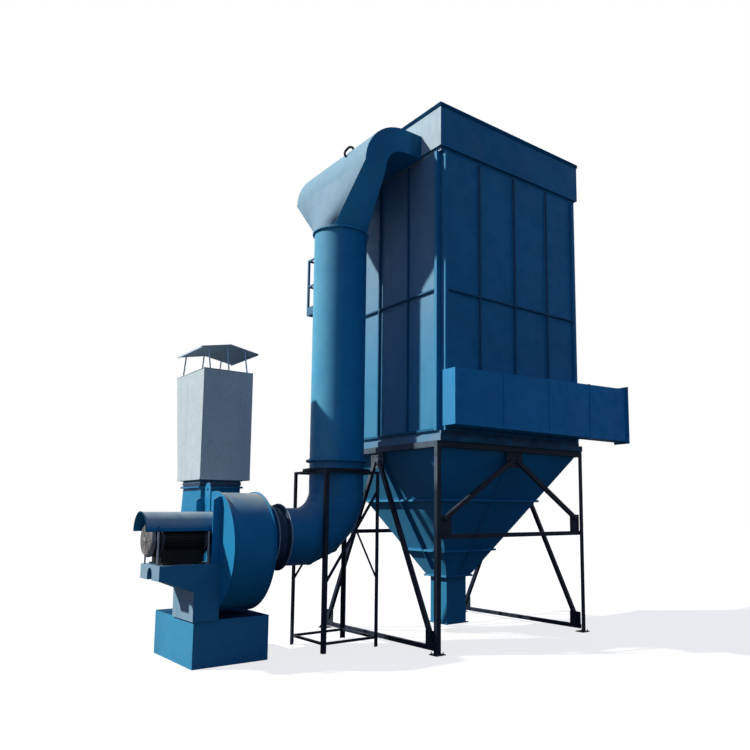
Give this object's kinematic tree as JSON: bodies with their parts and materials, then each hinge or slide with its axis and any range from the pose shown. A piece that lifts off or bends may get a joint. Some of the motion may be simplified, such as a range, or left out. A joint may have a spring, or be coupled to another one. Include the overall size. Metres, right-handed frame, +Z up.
{
  "type": "centrifugal dust collector",
  "caption": "Baghouse dust collector on braced legs with hopper, side inlet manifold, outlet duct, centrifugal fan with motor, exhaust stack and rain cap.",
  "frame": {"origin": "on the floor, under the middle of the plan outline", "axes": "+Z up, +X along the inlet manifold towards its open end, -Y the side that carries the manifold"},
  "size_m": [6.877, 3.9532, 7.3093],
  "materials": {
    "front_wall": "semi-gloss",
    "back_wall": "semi-gloss",
    "left_wall": "semi-gloss",
    "right_wall": "semi-gloss",
    "corner_post_front_left": "semi-gloss",
    "corner_post_front_right": "semi-gloss",
    "corner_post_back_left": "semi-gloss",
    "corner_post_back_right": "semi-gloss",
    "hopper": "semi-gloss",
    "discharge_spout": "semi-gloss",
    "plenum": "semi-gloss",
    "plenum_roof": "semi-gloss",
    "inlet_manifold": "semi-gloss",
    "inlet_flange": "semi-gloss",
    "outlet_elbow": "semi-gloss",
    "outlet_transition": "semi-gloss",
    "riser_duct": "semi-gloss",
    "lower_elbow": "semi-gloss",
    "fan_inlet_cone": "semi-gloss",
    "fan_scroll": "semi-gloss",
    "neck_flange": "semi-gloss",
    "fan_plinth": "semi-gloss",
    "motor_pedestal": "semi-gloss",
    "motor_cover": "semi-gloss",
    "tower_plate_front": "semi-gloss",
    "tower_plate_back": "semi-gloss",
    "lifting_lug": "semi-gloss",
    "leg_front_left": "satin",
    "leg_front_right": "satin",
    "leg_back_left": "satin",
    "leg_back_right": "satin",
    "ring_beam": "satin",
    "bracing_left": "satin",
    "bracing_right": "satin",
    "bracing_front": "satin",
    "bracing_back": "satin",
    "support_ring": "satin",
    "duct_stand": "satin",
    "platform_deck": "satin",
    "platform_bracket_left": "satin",
    "platform_bracket_right": "satin",
    "guard_rail": "satin",
    "motor": "satin",
    "exhaust_stack": "galvanised, dull",
    "rain_cap": "galvanised, dull",
    "motor_cowl": "galvanised, dull",
    "flexible_connector": "matt",
    "outlet_sleeve": "matt"
  },
  "bodies": {
    "root": {"front_wall": "front_wall", "back_wall": "back_wall", "left_wall": "left_wall", "right_wall": "right_wall", "corner_post_front_left": "corner_post_front_left", "corner_post_front_right": "corner_post_front_right", "corner_post_back_left": "corner_post_back_left", "corner_post_back_right": "corner_post_back_right", "hopper": "hopper", "discharge_spout": "discharge_spout", "plenum": "plenum", "plenum_roof": "plenum_roof", "inlet_manifold": "inlet_manifold", "inlet_flange": "inlet_flange", "outlet_elbow": "outlet_elbow", "outlet_transition": "outlet_transition", "riser_duct": "riser_duct", "lower_elbow": "lower_elbow", "fan_inlet_cone": "fan_inlet_cone", "fan_scroll": "fan_scroll", "neck_flange": "neck_flange", "fan_plinth": "fan_plinth", "motor_pedestal": "motor_pedestal", "motor_cover": "motor_cover", "tower_plate_front": "tower_plate_front", "tower_plate_back": "tower_plate_back", "lifting_lug": "lifting_lug", "leg_front_left": "leg_front_left", "leg_front_right": "leg_front_right", "leg_back_left": "leg_back_left", "leg_back_right": "leg_back_right", "ring_beam": "ring_beam", "bracing_left": "bracing_left", "bracing_right": "bracing_right", "bracing_front": "bracing_front", "bracing_back": "bracing_back", "support_ring": "support_ring", "duct_stand": "duct_stand", "platform_deck": "platform_deck", "platform_bracket_left": "platform_bracket_left", "platform_bracket_right": "platform_bracket_right", "guard_rail": "guard_rail", "motor": "motor", "exhaust_stack": "exhaust_stack", "rain_cap": "rain_cap", "motor_cowl": "motor_cowl", "flexible_connector": "flexible_connector", "outlet_sleeve": "outlet_sleeve"}
  },
  "joints": []
}
